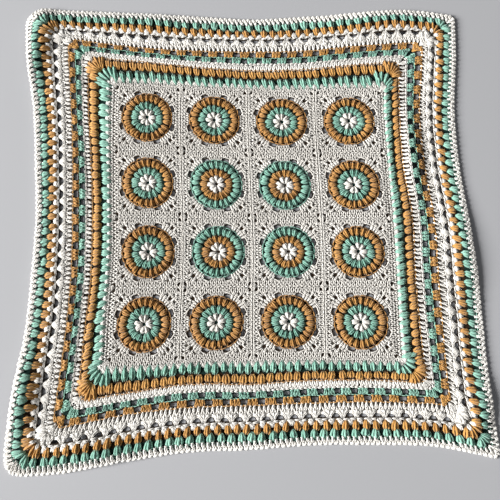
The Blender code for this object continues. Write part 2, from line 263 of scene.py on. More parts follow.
def lay(points):
    """Where plan points come to lie, from rows of (x, y, height above the floor)."""
    x, y, height = points.T
    reach = np.maximum(np.abs(x), np.abs(y))
    flat = np.zeros((len(points), 2))
    inside = reach <= PANEL_REACH
    flat[inside] = panel_point(x[inside] / PANEL_REACH, y[inside] / PANEL_REACH)
    for side in range(4):
        along, out = along_and_out(side, x, y)
        here = ~inside & (out == reach)
        if here.any():
            flat[here] = border_point(side, reach[here], along[here] / reach[here])
    return np.column_stack((flat - OUTLINE_MIDDLE, lift(flat) + height))


# The photograph's viewpoint, nearly overhead but moved towards the blanket's lower edge
CAMERA_AIM = Vector((0.0098, -0.0475, 0.0))
CAMERA_DISTANCE = 0.868
CAMERA_TILT = math.radians(10.5)
LENS_LENGTH = 36
SENSOR_WIDTH = 36


def placed(name, data):
    """A new object of the scene."""
    body = bpy.data.objects.new(name, data)
    bpy.context.scene.collection.objects.link(body)
    return body


def camera():
    """Looks down on the blanket as the photograph does."""
    lens = bpy.data.cameras.new("camera")
    lens.lens = LENS_LENGTH
    lens.sensor_width = SENSOR_WIDTH
    view = placed("camera", lens)
    back = Vector((0.0, -math.sin(CAMERA_TILT), math.cos(CAMERA_TILT)))
    view.location = CAMERA_AIM + back * CAMERA_DISTANCE
    view.rotation_euler = (-back).to_track_quat("-Z", "Y").to_euler()
    bpy.context.scene.camera = view


# The studio: soft square lamps, aimed at the middle of the blanket, and a pale room
Lamp = namedtuple("Lamp", "name place size power")
LAMPS = [
    Lamp("key_lamp", (-9.2, -1.30, 4.2), 4.4, 3100),
    Lamp("fill_lamp", (1.6, -1.2, 1.9), 2.0, 7),
]
ROOM_COLOUR = (0.9, 0.94, 1.0)
ROOM_LIGHT = 0.12
FLOOR_PAINT = {"Base Color": (0.37, 0.37, 0.38, 1), "Roughness": 0.9}
FLOOR_HALF_SIZE = 4.0
FLOOR_DROP = 0.0002


def lamp(name, place, size, power):
    """One of the soft square lamps."""
    light = bpy.data.lights.new(name, "AREA")
    light.size = size
    light.energy = power
    body = placed(name, light)
    body.location = place
    body.rotation_euler = (-Vector(place)).to_track_quat("-Z", "Y").to_euler()


def studio():
    """A plain pale floor, the lamps and the room's own light."""
    bm = bmesh.new()
    bmesh.ops.create_grid(bm, x_segments=1, y_segments=1, size=FLOOR_HALF_SIZE)
    mesh = bpy.data.meshes.new("floor")
    bm.to_mesh(mesh)
    bm.free()
    floor = placed("floor", mesh)
    floor.location.z = -FLOOR_DROP
    mesh.materials.append(Nodes("floor_paint").finish(FLOOR_PAINT))
    for row in LAMPS:
        lamp(*row)
    world = bpy.data.worlds.new("room")
    world.use_nodes = True
    background = world.node_tree.nodes["Background"]
    background.inputs["Color"].default_value = (*ROOM_COLOUR, 1)
    background.inputs["Strength"].default_value = ROOM_LIGHT
    bpy.context.scene.world = world
    bpy.context.scene.view_settings.view_transform = "Standard"


# The yarns: light on a ply, and dark for the painted shade between plies and the darker random tones
Yarn = namedtuple("Yarn", "light dark")
YARNS = {
    "white": Yarn((0.79, 0.762, 0.712), (0.49, 0.457, 0.408)),
    "teal": Yarn((0.285, 0.515, 0.408), (0.055, 0.19, 0.140)),
    "mustard": Yarn((0.56, 0.29, 0.068), (0.20, 0.078, 0.013)),
}
# Painted shade: the same yarns as dark as they look deep between the stitches, where little light comes
PAINTED_DEPTH_SHADES = {
    "white": (0.070, 0.062, 0.051),
    "teal": (0.006, 0.017, 0.014),
    "mustard": (0.018, 0.010, 0.005),
}
DEPTH_SPREAD = 1.5

# The twist: how many plies, and how many millimetres of a strand they take to turn once
PLIES = 3
PLY_TURN = 4.5
# How light the yarn is at the least, from dark to light, and how much the plies, the
# fibres, the stitch's own shade and a slow drift over the blanket each add to it
LEAST_LIGHT = 0.30
PLY_LIGHT = 0.42
FIBRE_LIGHT = 0.34
SHADE_LIGHT = 0.13
DRIFT_LIGHT = 0.5
FIBRE_SCALE = 1400
DEEP_FIBRE_SCALE = 700
DRIFT_SCALE = 9.0
FIBRE_RELIEF = 0.8

# How matt the cotton is
COTTON = {"Roughness": 0.86, "Specular IOR Level": 0.25, "Sheen Weight": 0.25, "Sheen Roughness": 0.6}
DEEP_COTTON = {"Roughness": 0.95, "Specular IOR Level": 0.1}


class Nodes:
    """Short ways to make and join the nodes of one material."""

    def __init__(self, name):
        self.material = bpy.data.materials.new(name)
        self.material.use_nodes = True
        self.tree = self.material.node_tree
        self.shader = self.tree.nodes["Principled BSDF"]

    def new(self, kind, **settings):
        node = self.tree.nodes.new(kind)
        for name, value in settings.items():
            setattr(node, name, value)
        return node

    def join(self, source, target):
        self.tree.links.new(source, target)

    def math(self, operation, *values):
        node = self.new("ShaderNodeMath", operation=operation)
        for socket, value in zip(node.inputs, values):
            if isinstance(value, (int, float)):
                socket.default_value = value
            else:
                self.join(value, socket)
        return node.outputs[0]

    def noise(self, vector, scale, detail):
        node = self.new("ShaderNodeTexNoise")
        node.inputs["Scale"].default_value = scale
        node.inputs["Detail"].default_value = detail
        self.join(vector, node.inputs["Vector"])
        return node.outputs["Fac"]

    def mix(self, amount, first, second):
        node = self.new("ShaderNodeMix", data_type="RGBA")
        self.join(amount, node.inputs["Factor"])
        node.inputs["A"].default_value = (*first, 1)
        node.inputs["B"].default_value = (*second, 1)
        return node.outputs["Result"]

    def bump(self, height, strength, distance):
        node = self.new("ShaderNodeBump")
        node.inputs["Strength"].default_value = strength
        node.inputs["Distance"].default_value = distance
        self.join(height, node.inputs["Height"])
        self.join(node.outputs["Normal"], self.shader.inputs["Normal"])

    def finish(self, settings):
        for name, value in settings.items():
            self.shader.inputs[name].default_value = value
        return self.material


def yarn_material(name):
    """Soft cotton of three twisted plies, painted in shade between them, a little different in every
    stitch.
    """
    yarn = YARNS[name]
    m = Nodes(name + "_cotton")
    place = m.new("ShaderNodeTexCoord").outputs["Object"]
    split = m.new("ShaderNodeSeparateXYZ")
    m.join(m.new("ShaderNodeUVMap", uv_map="strand").outputs["UV"], split.inputs[0])
    phase = m.math("ADD", m.math("MULTIPLY", split.outputs[0], PLIES), split.outputs[1])
    wave = m.math("SINE", m.math("MULTIPLY", phase, 2 * math.pi))
    # The plies' colour: light on each ply, with painted shade in the grooves between them
    ply = m.math("MULTIPLY_ADD", wave, 0.5, 0.5)
    fibres = m.noise(place, FIBRE_SCALE, 3.0)
    drift = m.noise(place, DRIFT_SCALE, 1.0)
    shade = m.new("ShaderNodeAttribute", attribute_name="shade").outputs["Fac"]
    lightness = m.math("MULTIPLY_ADD", ply, PLY_LIGHT, LEAST_LIGHT)
    lightness = m.math("ADD", lightness, m.math("MULTIPLY", fibres, FIBRE_LIGHT))
    lightness = m.math("ADD", lightness, m.math("MULTIPLY", shade, SHADE_LIGHT))
    drifted = m.math("MULTIPLY", m.math("SUBTRACT", drift, 0.5), DRIFT_LIGHT)
    clamp = m.new("ShaderNodeClamp")
    m.join(m.math("ADD", lightness, drifted), clamp.inputs["Value"])
    m.join(m.mix(clamp.outputs[0], yarn.dark, yarn.light), m.shader.inputs["Base Color"])
    relief = m.math("ADD", ply, m.math("MULTIPLY", fibres, FIBRE_RELIEF))
    m.bump(relief, strength=0.55, distance=0.5 * MM)
    return m.finish(COTTON)


def painted_depth_shade_material(name):
    """Painted shade for the inside of the cloth, seen only between the stitches, where little light comes.
    """
    m = Nodes(name + "_depth")
    place = m.new("ShaderNodeTexCoord").outputs["Object"]
    fibres = m.noise(place, DEEP_FIBRE_SCALE, 3.0)
    deep = PAINTED_DEPTH_SHADES[name]
    light = tuple(DEPTH_SPREAD * part for part in deep)
    m.join(m.mix(fibres, deep, light), m.shader.inputs["Base Color"])
    m.bump(fibres, strength=0.6, distance=0.6 * MM)
    return m.finish(DEEP_COTTON)


# A stitch is drawn as strands, each a row of (x, y, z, half thickness) in millimetres
Shape = namedtuple("Shape", "points corners starts strand_uvs tones")

# The small chance differences between drawn stitches
DRAWING = np.random.default_rng(7)


def strand(path, sides):
    """One strand of yarn as a closed tube of four or six sides along its path."""
    curve = bpy.data.curves.new("strand", "CURVE")
    curve.dimensions = "3D"
    curve.bevel_depth = MM
    curve.bevel_resolution = (sides - 4) // 2
    curve.use_fill_caps = True
    spline = curve.splines.new("POLY")
    spline.points.add(len(path) - 1)
    length = 0.0
    for k, (x, y, z, thick) in enumerate(path):
        spline.points[k].co = (x * MM, y * MM, z * MM, 1)
        spline.points[k].radius = thick
        if k:
            length += math.dist(path[k - 1][:3], (x, y, z))
    drawn = bpy.data.objects.new("strand", curve)
    mesh = bpy.data.meshes.new_from_object(drawn)
    bm = bmesh.new()
    bm.from_mesh(mesh)
    bmesh.ops.remove_doubles(bm, verts=bm.verts, dist=MM / 100)
    layer = bm.loops.layers.uv.active
    for face in bm.faces:
        for loop in face.loops:
            u, v = loop[layer].uv
            loop[layer].uv = (u, v * length / PLY_TURN)
    bm.to_mesh(mesh)
    bm.free()
    bpy.data.objects.remove(drawn)
    bpy.data.curves.remove(curve)
    return mesh


def read(items, name, width, kind=float):
    """An array of one property of all these items of a mesh."""
    values = np.zeros(len(items) * width, kind)
    items.foreach_get(name, values)
    return values.reshape(-1, width) if width > 1 else values


def stitch(*paths, sides=4):
    """A stitch of several strands, ready to be repeated."""
    points, corners, starts, uvs, tones = [], [], [], [], []
    for path in paths:
        mesh = strand(path, sides)
        first = sum(len(p) for p in points)
        first_corner = sum(len(c) for c in corners)
        points.append(read(mesh.vertices, "co", 3))
        corners.append(read(mesh.loops, "vertex_index", 1, int) + first)
        starts.append(read(mesh.polygons, "loop_start", 1, int) + first_corner)
        uvs.append(read(mesh.uv_layers[0].data, "uv", 2))
        tones.append(np.full(len(points[-1]), DRAWING.uniform(-1, 1)))
        bpy.data.meshes.remove(mesh)
    return Shape(*(np.concatenate(rows) for rows in (points, corners, starts, uvs, tones)))


def mirrored(path):
    """A strand's path, the other way round across the stitch."""
    return [(-x, y, z, thick) for x, y, z, thick in path]


def puff(lobes, foot, waist, crown, fat=1.0):
    """A puff of strands side by side, thin at y = 0 and fat at its far end, 14 mm off.

    foot, waist and crown are its half widths at y = 0, a quarter of the way, and past half.
    """
    paths = []
    for k in range(lobes):
        o = 2 * k / (lobes - 1) - 1
        drop = o * o
        rise, sway, reach = DRAWING.normal(0, 1, 3) * (0.4, 0.25, 0.55)
        paths.append(
            [
                (o * foot, 0.2, 2.2, 0.8),
                (o * waist + sway, 4.2, 4.6 - 1.2 * drop + rise, 1.45 * fat),
                (o * crown + sway, 9.8 + reach, 5.2 - 2.1 * drop + rise, 1.75 * fat),
                (o * crown * 0.62, 13.7 + reach, 2.6 - 0.4 * drop, 0.9),
            ]
        )
    paths.append([(0, 0.5, 1.6, 1.0), (0, 8.2, 2.4, 2.2), (0, 13.0, 1.9, 1.2)])
    return stitch(*paths, sides=6)


# How long the drawn puffs and posts are
PUFF_LENGTH = 14 * MM
POST_LENGTH = 8 * MM
POST_STRANDS = (
    [(-1.2, 0.0, 1.6, 1.0), (0.6, 2.8, 3.3, 1.3), (1.1, 5.4, 2.5, 1.25), (-0.4, 8.0, 2.9, 1.0)],
    [(1.2, 0.0, 2.6, 1.0), (-0.6, 2.8, 1.7, 1.25), (-1.1, 5.4, 3.0, 1.3), (0.6, 8.0, 1.8, 1.0)],
)
VEE_STRAND = [(0.4, -0.7, 1.5, 0.85), (1.5, 2.6, 3.5, 1.08), (2.6, 6.0, 2.5, 0.88)]
LINK_STRANDS = (
    [(-3.1, -1.2, 2.0, 0.8), (-1.0, -1.6, 3.8, 1.2), (1.4, -1.0, 3.7, 1.2), (3.0, 0.2, 2.2, 0.8)],
    [(-3.1, 1.4, 2.0, 0.8), (-0.8, 1.8, 3.5, 1.2), (1.6, 1.2, 3.5, 1.2), (3.0, 0.2, 2.2, 0.8)],
)
FLOWER_STRAND = [(-0.4, 0, 1.8, 0.9), (-1.9, 3.2, 3.8, 1.45), (-3.4, 7.6, 2.8, 1.0)]
FLOWER_MIDDLE = [(-0.3, 0.8, 2.8, 0.9), (-0.7, 4.4, 4.4, 1.35), (-0.9, 8.4, 2.6, 0.9)]
BUMP_STRANDS = (
    [
        (-3.8, -2.2, 1.6, 1.2), (-2.1, -0.5, 3.4, 2.3), (0.2, 0.5, 4.0, 2.8),
        (2.3, 0.5, 3.1, 2.4), (3.9, -0.7, 1.6, 1.2),
    ],
    [(-3.6, -1.4, 1.6, 1.0), (0.0, -1.0, 2.0, 1.8), (3.6, -1.0, 1.6, 1.0)],
)
ARC_STRAND = [(-5.6, -0.5, 2.6, 0.8), (-2.4, 0.9, 3.6, 1.05), (2.4, 0.9, 3.6, 1.05), (5.6, -0.5, 2.6, 0.8)]
CORD_STRAND = [(-3.8, 0.3, 2.2, 1.0), (-1.2, -0.3, 3.4, 1.35), (1.6, 0.3, 3.2, 1.3), (3.8, 0.0, 2.0, 0.9)]
ARM_STRANDS = (
    [(0.4, 0.8, 2.4, 1.2), (2.6, 6.2, 3.8, 1.35), (6.4, 9.8, 3.8, 1.3), (11.4, 10.8, 2.8, 1.1)],
    [(1.4, -0.4, 1.8, 1.1), (3.8, 4.4, 3.0, 1.2), (7.2, 7.8, 3.2, 1.2), (11.4, 8.6, 2.6, 1.1)],
)

# Each stitch's drawings, of which every copy takes one by chance
SHAPES = {
    "petal": [puff(3, 0.3, 1.8, 2.5) for _ in range(3)],
    "leaf": [puff(3, 0.4, 2.8, 3.9, 0.9) for _ in range(4)],
    "egg": [puff(3, 0.5, 2.8, 4.0, 1.1) for _ in range(4)],
    "slim": [puff(3, 0.4, 1.6, 2.9, 1.1) for _ in range(3)],
    "shell": [puff(5, 0.7, 3.4, 5.4, 0.95) for _ in range(3)],
    "post": [stitch(*POST_STRANDS)],
    "vee": [stitch(VEE_STRAND, mirrored(VEE_STRAND))],
    "link": [stitch(*LINK_STRANDS)],
    "flower": [stitch(FLOWER_STRAND, mirrored(FLOWER_STRAND), FLOWER_MIDDLE, mirrored(FLOWER_MIDDLE))],
    "bump": [stitch(*BUMP_STRANDS, sides=6)],
    "arc": [stitch(ARC_STRAND)],
    "cord": [stitch(CORD_STRAND)],
    "arms": [stitch(*ARM_STRANDS, *(mirrored(path) for path in ARM_STRANDS))],
    "ball": [puff(3, 1.6, 3.5, 4.0, 1.15) for _ in range(4)],
}


def spots(x, y, turn, wide=1.0, long=1.0, high=1.0, base=0.0):
    """Where stitches go: rows of (x, y, turn, width, length, height, base)."""
    return np.column_stack([np.ravel(v) for v in np.broadcast_arrays(x, y, turn, wide, long, high, base)])


def turned(x, y, turn):
    """Plan points turned about the middle."""
    return x * np.cos(turn) - y * np.sin(turn), x * np.sin(turn) + y * np.cos(turn)


def on_sides(along, out, centre=(0.0, 0.0), lean=0.0, sides=(0, 1, 2, 3), **size):
    """Stitches at places along the sides of a square, all facing outwards.

    Side 0 is the top one, and the others follow anticlockwise.
    """
    rows = []
    for side in sides:
        x, y = turned(np.asarray(along), np.broadcast_to(out, np.shape(along)), side * QUARTER)
        rows.append(spots(x + centre[0], y + centre[1], side * QUARTER + lean, **size))
    return np.concatenate(rows)


def on_corners(out, spread, centre=(0.0, 0.0), start=0.0, **size):
    """Stitches fanned about the four corners of a square, some way off one point at each."""
    rows = []
    for side in range(4):
        x, y = turned(out, out, side * QUARTER)
        turn = side * QUARTER - EIGHTH + np.asarray(spread)
        dx, dy = turned(np.zeros_like(turn), np.full_like(turn, start), turn)
        rows.append(spots(x + centre[0] + dx, y + centre[1] + dy, turn, **size))
    return np.concatenate(rows)


def around(radius, angles, centre, facing=0.0, **size):
    """Stitches at angles round a centre, all facing away from it."""
    x, y = turned(np.zeros_like(angles), np.full_like(angles, radius), angles)
    return spots(x + centre[0], y + centre[1], angles + facing, **size)


def evenly(count, half_length, shift=0.0):
    """Places of that many stitches, evenly along a side of that half length."""
    return ((np.arange(count) + 0.5 + shift) / count * 2 - 1) * half_length


# A row of stitches along a side: how many, over what half length and how far out, each
# one's width, length and height against its drawing, its lean, how high its foot is, how
# many stitches the row is shifted by, on which sides, and how loosely it is worked
Row = namedtuple(
    "Row",
    "stitch count half_length out wide long high lean base shift sides loose",
    defaults=(1.0, 1.0, 1.0, 0.0, 0.0, 0.0, (0, 1, 2, 3), 1.0),
)
# Stitches fanned at each corner: how far out the point that they come from is, their
# directions in degrees, how far from the point they start, and then as for a row
Fan = namedtuple("Fan", "stitch out degrees start wide long loose", defaults=(0.0, 1.0, 1.0, 1.0))

# How much a copied stitch differs by hand in size, turn and place, and how much of its
# shade comes from each copy and each strand
SIZE_CHANCE = 0.045
TURN_CHANCE = 0.07
PLACE_CHANCE = 0.35 * MM
SHADE_SHARE = 0.6


class Crochet:
    """One piece of crochet: its stitches, each a copy of a drawn one, in some yarns."""

    def __init__(self, name, yarns, seed, tone=0.0):
        self.name = name
        self.tone = tone
        self.yarns = yarns
        self.random = np.random.default_rng(seed)
        self.rows = []
        self.points = 0
        self.corners = 0

    def work(self, yarn, shape, places, loose=1.0):
        """Adds a copy of a stitch at each place, each a little different by hand."""
        drawings = SHAPES[shape]
        if len(drawings) == 1:
            self.copy(yarn, drawings[0], places, loose)
            return
        chosen = self.random.integers(0, len(drawings), len(places))
        for k, drawing in enumerate(drawings):
            self.copy(yarn, drawing, places[chosen == k], loose)

    def copy(self, yarn, shape, places, loose):
        """Adds a copy of one drawing at each place."""
        count = len(places)
        chance = self.random.normal
        size = places[:, 3:6] * (1 + chance(0, SIZE_CHANCE * loose, (count, 3)))
        turn = places[:, 2] + chance(0, TURN_CHANCE * loose, count)
        shift = chance(0, PLACE_CHANCE * loose, (count, 2))
        shade = self.random.uniform(-1, 1, count)
        scaled = shape.points[None] * size[:, None, :]
        x, y = turned(scaled[..., 0], scaled[..., 1], turn[:, None])
        x = x + (places[:, 0] + shift[:, 0])[:, None]
        y = y + (places[:, 1] + shift[:, 1])[:, None]
        z = scaled[..., 2] + places[:, 6][:, None]
        each = len(shape.points)
        corners = len(shape.corners)
        repeat = np.arange(count)[:, None]
        # The piece's tone is painted shade on the squares, painted highlight on the blocks, deeper colour
        # on the motifs
        shades = np.repeat(shade, each) * SHADE_SHARE + np.tile(shape.tones, count) * SHADE_SHARE
        self.rows.append(
            (
                lay(np.column_stack((x.ravel(), y.ravel(), z.ravel()))),
                (shape.corners[None] + repeat * each).ravel() + self.points,
                (shape.starts[None] + repeat * corners).ravel() + self.corners,
                np.tile(shape.strand_uvs, (count, 1)),
                shades + self.tone,
                np.full(count * len(shape.starts), self.yarns.index(yarn)),
            )
        )
        self.points += count * each
        self.corners += count * corners

    def work_rows(self, yarn, rows, centre=(0.0, 0.0)):
        """Works rows along the sides and fans at the corners, one after the other."""
        for row in rows:
            if isinstance(row, Fan):
                spread = np.radians(row.degrees)
                places = on_corners(row.out, spread, centre, row.start, wide=row.wide, long=row.long)
            else:
                along = evenly(row.count, row.half_length, row.shift)
                size = {name: getattr(row, name) for name in ("wide", "long", "high", "base")}
                places = on_sides(along, row.out, centre, row.lean, row.sides, **size)
            self.work(yarn, row.stitch, places, row.loose)

    def finish(self, slot_yarn, *nodes):
        """Makes the piece, which stands for those nodes of the plain model."""
        co, corners, starts, uvs, shade, yarn = (np.concatenate(rows) for rows in zip(*self.rows))
        mesh = bpy.data.meshes.new(self.name)
        mesh.vertices.add(len(co))
        mesh.vertices.foreach_set("co", co.ravel())
        mesh.loops.add(len(corners))
        mesh.loops.foreach_set("vertex_index", corners)
        mesh.polygons.add(len(starts))
        mesh.polygons.foreach_set("loop_start", starts)
        mesh.polygons.foreach_set("material_index", yarn)
        mesh.polygons.foreach_set("use_smooth", np.ones(len(starts), bool))
        mesh.update(calc_edges=True)
        mesh.uv_layers.new(name="strand").data.foreach_set("uv", uvs.ravel())
        mesh.attributes.new("shade", "FLOAT", "POINT").data.foreach_set("value", shade)
        for name in self.yarns:
            mesh.materials.append(YARN_MATERIALS[name])
        piece = placed(self.name, mesh)
        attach(piece, "root")
        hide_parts(*nodes)
        return piece


def square_centre(row, column):
    """The plan centre of a square. Row 1 is the top one, and column 1 the left one."""
    middle = (SQUARES_A_SIDE + 1) / 2
    return ((column - middle) * SQUARE, (middle - row) * SQUARE)


# The yarn of a motif's inner coloured round, by that of its outer one
INNER_YARNS = {"mustard": "teal", "teal": "mustard"}

SQUARES = [(row, column) for row in range(1, SQUARES_A_SIDE + 1) for column in range(1, SQUARES_A_SIDE + 1)]

# The rounds of a motif: eight white petals, sixteen leaves, a ring of puffs and its chain.
# The chain's arcs lie half a puff further round
Ring = namedtuple("Ring", "stitch count radius wide long high shift loose")
PETALS = Ring("petal", 8, 0.0030, 1.00, 1.00, 1.05, 0.0, 1.0)
LEAVES = Ring("leaf", 16, 0.0150, 0.90, 1.02, 1.10, 0.0, 1.0)
PUFFS = Ring("egg", 24, 0.0290, 0.87, 1.05, 1.15, 0.0, 0.9)
CHAIN = Ring("arc", 24, 0.0444, 1.02, 0.80, 1.00, 0.5, 1.0)
# How much deeper the motifs' colours look than the border's
MOTIF_TONE = -1.1


def work_motif(row, column, seed):
    """A round motif, started at a chance angle."""
    centre = square_centre(row, column)
    outer = MOTIF_YARNS[row - 1][column - 1]
    piece = Crochet(f"puff_motif_{row}_{column}", ["white", "teal", "mustard"], seed, MOTIF_TONE)
    start = piece.random.uniform(0, 2 * math.pi)
    for yarn, ring in (("white", PETALS), (INNER_YARNS[outer], LEAVES), (outer, PUFFS), (outer, CHAIN)):
        angles = start + (np.arange(ring.count) + ring.shift) * 2 * math.pi / ring.count
        places = around(ring.radius, angles, centre, wide=ring.wide, long=ring.long, high=ring.high)
        piece.work(yarn, ring.stitch, places, ring.loose)
    return piece.finish(outer, f"motif_{row}_{column}")


# The ground of a square. Towards its corners, stitches lie at so many degrees either side
# of the diagonals, and turn away from the centre's direction by a share of that angle
Spray = namedtuple("Spray", "stitch radius degrees turn_share wide long loose")
FANS = Spray("post", 0.0455, (-13.5, -8.1, -2.7, 2.7, 8.1, 13.5), 0.6, 1.1, 1.35, 0.5)
ARCHES = Spray("link", 0.0570, (-15, -9, 9, 15), 0.0, 1.1, 0.75, 0.7)
TIPS = Spray("post", 0.0560, (-4.6, 4.6), -0.4, 1.0, 1.5, 0.5)
CRESTS = Spray("vee", 0.0628, (0,), 0.0, 0.9, 0.9, 0.5)
DIAGONALS = EIGHTH + np.arange(4) * QUARTER
# The arcs between the fans
NOTCHES = (DIAGONALS[:, None] + np.array([-1, 1]) * EIGHTH / 2).ravel()
NOTCH_RADIUS = 0.0530
GROUND_ROWS = [
    Row("vee", 5, 0.0115, 0.0452, wide=0.85, long=0.95, loose=0.7),
    Row("vee", 15, 0.0498, 0.0500, wide=1.1, loose=0.9),
    Row("vee", 16, 0.0530, 0.0546, wide=1.1, long=0.85, loose=0.9),
    Fan("post", 0.0500, (-22, 22), wide=0.85, long=0.8),
    Fan("link", 0.0586, (0,), wide=0.8, long=0.8),
]
# The seams' cords: upright ones only where two squares meet, and level ones everywhere
UPRIGHT_SEAM = Row("cord", 18, 0.0600, 0.0593, loose=0.5)
LEVEL_SEAM = Row("cord", 18, 0.0600, 0.0602, wide=0.8, long=0.7, high=0.8, sides=(0, 2), loose=1.2)
# Painted shade: how much greyer the squares' close ground is than the looser border, for its small shadows
GROUND_PAINTED_SHADE = -1.1


def work_spray(piece, spray, centre):
    """Works the stitches of a spray, one direction after the other."""
    for offset in np.radians(spray.degrees):
        turn = offset * spray.turn_share
        size = {"wide": spray.wide, "long": spray.long}
        places = around(spray.radius, DIAGONALS + offset, centre, turn, **size)
        piece.work("white", spray.stitch, places, spray.loose)


def work_square(row, column, seed):
    """The white ground of a square: fans round the motif, rounds of posts and a seam."""
    centre = square_centre(row, column)
    piece = Crochet(f"white_square_{row}_{column}", ["white"], seed, GROUND_PAINTED_SHADE)
    work_spray(piece, FANS, centre)
    piece.work("white", "arc", around(NOTCH_RADIUS, NOTCHES, centre, wide=1.4, high=0.9))
    for spray in (ARCHES, TIPS, CRESTS):
        work_spray(piece, spray, centre)
    inner_sides = [side for side, edge in ((1, 1), (3, SQUARES_A_SIDE)) if column != edge]
    rows = GROUND_ROWS + [UPRIGHT_SEAM._replace(sides=inner_sides), LEVEL_SEAM]
    piece.work_rows("white", rows, centre)
    return piece.finish("white", f"square_{row}_{column}")


# The lace: how many holes a side, over what half length, and how far out its puffs' feet are
LACE_HOLES = 30
LACE_LENGTH = 0.3330
LACE_FOOT = 0.3458
# The lean of a stitch that points inwards
INWARDS = math.pi

# The directions of five stitches at a corner
FIVE_WAYS = (-40, -20, 0, 20, 40)

# The white rounds' stitches, in the order that they are worked
ROWS_1 = [
    Row("vee", 80, 0.2460, 0.2432, long=0.9),
    Fan("post", 0.2430, (-40, -24, -8, 8, 24, 40), wide=1.1, long=2.0),
    Row("vee", 74, 0.2500, 0.2482, wide=1.1, long=0.85),
    Row("flower", 37, 0.2530, 0.2486, wide=1.1, long=1.05),
]
ROWS_4 = [
    Row("post", 78, 0.2880, 0.2858, wide=1.25, long=1.5, lean=-0.2),
    Row("vee", 78, 0.2880, 0.2868, wide=1.35, long=1.45, sides=(0, 2)),
    Fan("post", 0.2845, FIVE_WAYS, long=1.8),
    Row("link", 78, 0.2960, 0.2972, wide=1.2, long=0.7),
]
ROWS_7 = [
    Row("post", 86, 0.3240, 0.3190, wide=1.1, long=1.45, lean=-0.12),
    Row("vee", 86, 0.3280, 0.3270, wide=1.25, long=1.05, loose=1.3),
    Row("link", 60, LACE_LENGTH, 0.3344, wide=1.3, long=0.7),
    Row("shell", LACE_HOLES, LACE_LENGTH, LACE_FOOT - 0.5 * MM, long=1.15, high=0.8, lean=INWARDS),
    Row("arms", LACE_HOLES, LACE_LENGTH, LACE_FOOT, long=1.1, lean=INWARDS, loose=0.8),
    Row("link", 60, LACE_LENGTH, LACE_FOOT + 1.7 * MM, wide=1.7, long=0.7),
    Row("flower", 45, 0.3500, LACE_FOOT + 0.6 * MM, wide=1.35, long=1.2),
    Fan("post", 0.3200, FIVE_WAYS, wide=1.2, long=1.9),
    Fan("shell", 0.3290, FIVE_WAYS, start=0.002, wide=0.6, long=1.15),
]
ROWS_10 = [
    Row("post", 92, 0.3780, 0.3750, wide=1.3, long=1.2, high=1.5, lean=0.22),
    Fan("post", 0.3760, (-36, -18, 0, 18, 36), wide=1.2, long=1.7),
    Row(
        "vee", 93, 0.3842, 0.3866, wide=1.5, long=0.9,
        lean=INWARDS, base=1.3 * MM, shift=0.5, loose=0.8,
    ),
    Row("bump", 93, 0.3862, 0.3862, wide=1.08, long=1.1, high=0.8, loose=0.7),
]

WhiteRound = namedtuple("WhiteRound", "piece node tone rows")
# Round 1 takes half of the squares' painted shade
WHITE_ROUNDS = {
    1: WhiteRound("white_round_01", "round_01_double_crochet", GROUND_PAINTED_SHADE / 2, ROWS_1),
    4: WhiteRound("white_round_04", "round_04_double_crochet", 0.0, ROWS_4),
    7: WhiteRound("white_lace_round_07", "round_07_puff_lace", 0.0, ROWS_7),
    10: WhiteRound("white_edge_round_10", "round_10_corded_edge", 0.0, ROWS_10),
}


def work_white(number):
    """A white round: rows along its sides and fans at its corners."""
    name, node, tone, rows = WHITE_ROUNDS[number]
    piece = Crochet(name, ["white"], 100 + number, tone)
    piece.work_rows("white", rows)
    return piece.finish("white", node)


# Rounds of puffs that point inwards: their number a side, the half length that they fill,
# how far out their tips and fat ends lie, their width, and how many puffs they are shifted
# by. Then the puffs of a corner: their directions in degrees, how far from their common
# point they start and how long they are. Last, how far out the round's chain of arcs lies
PuffRound = namedtuple(
    "PuffRound",
    "yarn count half_length tip fat wide shift shape corner corner_start corner_long rim",
)
PUFF_ROUNDS = {
    2: PuffRound(
        "teal", 37, 0.2545, 0.2478, 0.2682, 1.08, 0.5, "egg",
        (-50, -30, -10, 10, 30, 50), 0.0125, 1.55, None,
    ),
    3: PuffRound(
        "mustard", 37, 0.2720, 0.2692, 0.2850, 1.2, 0.0, "ball",
        (-56, -37, -18, 0, 18, 37, 56), 0.0055, 1.6, 0.2862,
    ),
    8: PuffRound(
        "mustard", 45, 0.3530, 0.3480, 0.3656, 1.02, 0.5, "egg",
        (-42, -14, 14, 42), 0.0065, 1.2, None,
    ),
    9: PuffRound(
        "teal", 45, 0.3660, 0.3616, 0.3780, 1.22, 0.0, "egg",
        (-45, -15, 15, 45), 0.0065, 1.15, 0.3782,
    ),
}
# No puff or gap of a side lies nearer than this to the corner
CORNER_ROOM = 6 * MM
# How far in from the tips the common point of a corner's puffs lies
CORNER_INSET = 5 * MM
PUFF_HEIGHT = 1.08


def work_puffs(number):
    """A round of puffs that point inwards, with some fanned at each corner."""
    this = PUFF_ROUNDS[number]
    piece = Crochet(f"{this.yarn}_round_{number:02d}", [this.yarn], 100 + number)
    long = (this.fat - this.tip) / PUFF_LENGTH
    places = evenly(this.count, this.half_length, this.shift)
    places = places[np.abs(places) < this.half_length - CORNER_ROOM]
    puffs = on_sides(places, this.tip, wide=this.wide, long=long, high=PUFF_HEIGHT)
    piece.work(this.yarn, this.shape, puffs, 1.2)
    middle = this.tip - CORNER_INSET
    rows = [Fan("slim", middle, this.corner, this.corner_start, 0.85, this.corner_long, 0.6)]
    if this.rim:
        rows.append(Row("arc", 2 * this.count, this.rim, this.rim, 0.75, 0.7, 0.8))
    piece.work_rows(this.yarn, rows)
    return piece.finish(this.yarn, f"round_{number:02d}_puffs")


